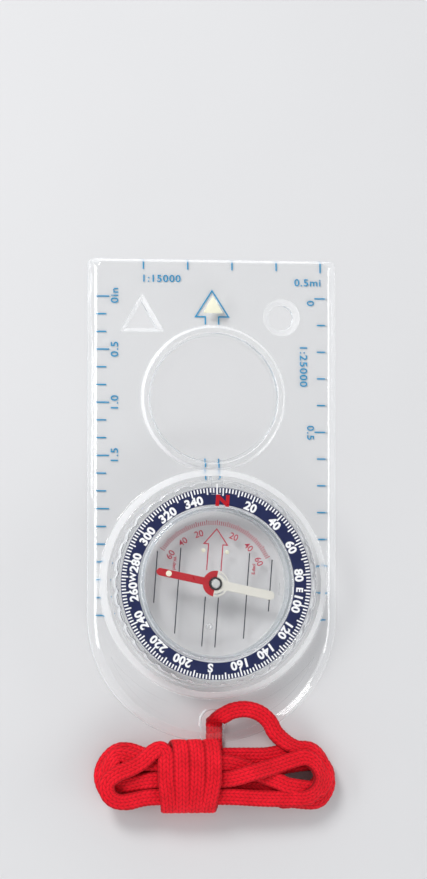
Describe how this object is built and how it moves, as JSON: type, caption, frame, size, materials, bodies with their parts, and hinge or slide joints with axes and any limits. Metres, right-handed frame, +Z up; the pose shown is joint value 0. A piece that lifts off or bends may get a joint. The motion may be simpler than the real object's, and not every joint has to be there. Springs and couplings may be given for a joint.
{
  "type": "baseplate compass",
  "caption": "Clear baseplate compass with magnifier, marking stencils, turning graduated capsule, magnetic needle and folded neck lanyard.",
  "frame": {"origin": "on the underside, below the middle of the plate", "axes": "+Y along the travel arrow, +X to its right, +Z up out of the dial; the underside lies at Z 0"},
  "size_m": [0.06, 0.1324, 0.01],
  "materials": {
    "clear_plate": "polished clear acrylic",
    "clear_lens": "polished clear acrylic",
    "clear_bezel": "clear moulded plastic with finger scallops",
    "navy_scale": "navy print with white degree marks",
    "luminous": "cream luminous compound",
    "braid": "flat woven polyester braid",
    "spring_steel": "rolled spring steel",
    "pin_steel": "ground and polished",
    "seal": "grey silicone",
    "needle_paint": "red north half and white south half",
    "magnet": "dull magnet steel",
    "black_hub": "fine moulded",
    "jewel": "polished jewel"
  },
  "bodies": {
    "base": {"baseplate": "clear_plate", "magnifier_lens": "clear_lens", "travel_arrow_fill": "luminous", "index_tab": "clear_plate", "lanyard_upper_strand": "braid", "lanyard_lower_strand": "braid", "lanyard_hank": "braid"},
    "dial": {"bezel_ring": "clear_bezel", "degree_scale_ring": "navy_scale", "retaining_ring": "spring_steel", "capsule_top": "clear_lens", "capsule_floor": "clear_lens", "capsule_seal": "seal", "pivot_pin": "pin_steel", "filler_plug": "seal", "orienting_dot_left": "luminous", "orienting_dot_right": "luminous"},
    "needle": {"needle_pointer": "needle_paint", "needle_magnet": "magnet", "needle_hub": "black_hub", "jewel_cup": "jewel", "needle_dot": "luminous"}
  },
  "joints": [
    {"name": "dial_turn", "type": "hinge", "parent": "base", "child": "dial", "pos_m": [0, -0.02, 0.005], "axis": [0, 0, 1], "continuous": true},
    {"name": "needle_swing", "type": "hinge", "parent": "dial", "child": "needle", "pos_m": [0, -0.02, 0.00628], "axis": [0, 0, 1], "continuous": true}
  ]
}
